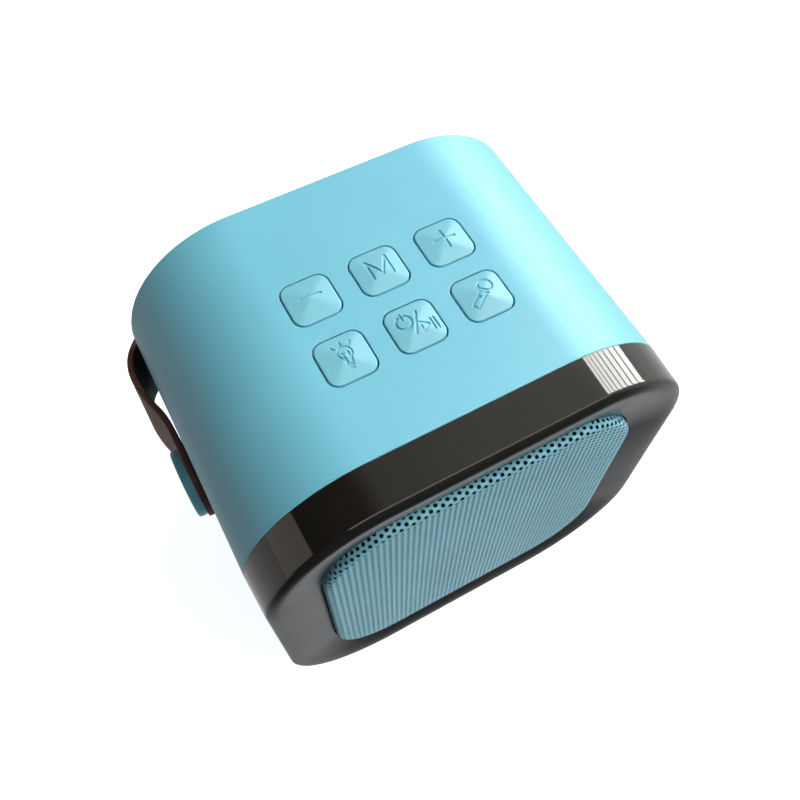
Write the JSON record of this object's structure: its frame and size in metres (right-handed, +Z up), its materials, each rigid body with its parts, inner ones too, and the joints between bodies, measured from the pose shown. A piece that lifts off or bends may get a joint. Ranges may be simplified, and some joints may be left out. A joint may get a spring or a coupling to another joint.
{
  "type": "portable bluetooth speaker",
  "caption": "Rounded-square portable speaker with a smoked glossy front bezel, perforated metal grille, six spring-loaded top keys and a leather hand strap round the back.",
  "frame": {"origin": "bottom centre of the whole object's box, on the surface that the feet stand on", "axes": "+Z up, the grille faces -Y, +X is to the right seen from the front"},
  "size_m": [0.1146, 0.091, 0.1051],
  "materials": {
    "shell": "fine satin texture, aqua",
    "keys": "satin aqua",
    "smoke": "smoked translucent, polished",
    "diffuser": "milky",
    "board": "solder resist",
    "grille": "powder coated blue, perforated",
    "cloth": "black acoustic cloth",
    "black_plastic": "moulded",
    "driver_frame": "black paint on pressed steel",
    "ferrite": "sintered",
    "steel": "zinc plated",
    "rubber": "matt",
    "spider": "resin-treated cloth",
    "cone": "pressed paper",
    "copper": "enamelled winding",
    "cell": "shrink sleeve",
    "wire": "insulation",
    "leather": "smooth brown, dark painted edges"
  },
  "bodies": {
    "chassis": {"main_shell": "shell", "rear_cover": "shell", "front_bezel": "smoke", "light_guide": "diffuser", "led_ring_board": "board", "grille": "grille", "grille_cloth": "cloth", "baffle": "black_plastic", "driver_basket": "driver_frame", "driver_magnet": "ferrite", "driver_yoke": "steel", "driver_surround": "rubber", "driver_spider": "spider", "key_board": "board", "main_board": "board", "main_board_screw": "steel", "key_board_screw_left": "steel", "key_board_screw_right": "steel", "usb_c_socket": "steel", "card_socket": "steel", "aux_socket": "black_plastic", "battery": "cell", "battery_holder": "black_plastic", "driver_lead": "wire", "strap": "leather", "strap_button_left": "shell", "strap_button_right": "shell", "strap_screw_left": "steel", "strap_screw_right": "steel", "switch_minus": "black_plastic", "switch_mode": "black_plastic", "switch_plus": "black_plastic", "switch_light": "black_plastic", "switch_power": "black_plastic", "switch_mic": "black_plastic", "rear_screw_top_left": "steel", "baffle_screw_top_left": "steel", "driver_screw_top_left": "steel", "rear_screw_top_right": "steel", "baffle_screw_top_right": "steel", "driver_screw_top_right": "steel", "rear_screw_bottom_left": "steel", "baffle_screw_bottom_left": "steel", "driver_screw_bottom_left": "steel", "rear_screw_bottom_right": "steel", "baffle_screw_bottom_right": "steel", "driver_screw_bottom_right": "steel", "foot_front_left": "rubber", "foot_front_right": "rubber", "foot_rear_left": "rubber", "foot_rear_right": "rubber"},
    "key_minus": {"key_minus": "keys"},
    "key_mode": {"key_mode": "keys"},
    "key_plus": {"key_plus": "keys"},
    "key_light": {"key_light": "keys"},
    "key_power": {"key_power": "keys"},
    "key_mic": {"key_mic": "keys"},
    "cone": {"driver_cone": "cone", "dust_cap": "cone", "voice_coil": "copper"}
  },
  "joints": [
    {"name": "minus_press", "type": "slide", "parent": "chassis", "child": "key_minus", "axis": [0, 0, -1], "range_m": [0, 0.0005], "stiffness_N_per_m": 2000, "springref_m": -0.0002},
    {"name": "mode_press", "type": "slide", "parent": "chassis", "child": "key_mode", "axis": [0, 0, -1], "range_m": [0, 0.0005], "stiffness_N_per_m": 2000, "springref_m": -0.0002},
    {"name": "plus_press", "type": "slide", "parent": "chassis", "child": "key_plus", "axis": [0, 0, -1], "range_m": [0, 0.0005], "stiffness_N_per_m": 2000, "springref_m": -0.0002},
    {"name": "light_press", "type": "slide", "parent": "chassis", "child": "key_light", "axis": [0, 0, -1], "range_m": [0, 0.0005], "stiffness_N_per_m": 2000, "springref_m": -0.0002},
    {"name": "power_press", "type": "slide", "parent": "chassis", "child": "key_power", "axis": [0, 0, -1], "range_m": [0, 0.0005], "stiffness_N_per_m": 2000, "springref_m": -0.0002},
    {"name": "mic_press", "type": "slide", "parent": "chassis", "child": "key_mic", "axis": [0, 0, -1], "range_m": [0, 0.0005], "stiffness_N_per_m": 2000, "springref_m": -0.0002},
    {"name": "cone_stroke", "type": "slide", "parent": "chassis", "child": "cone", "axis": [0, -1, 0], "range_m": [-0.001, 0.001], "stiffness_N_per_m": 1500}
  ]
}
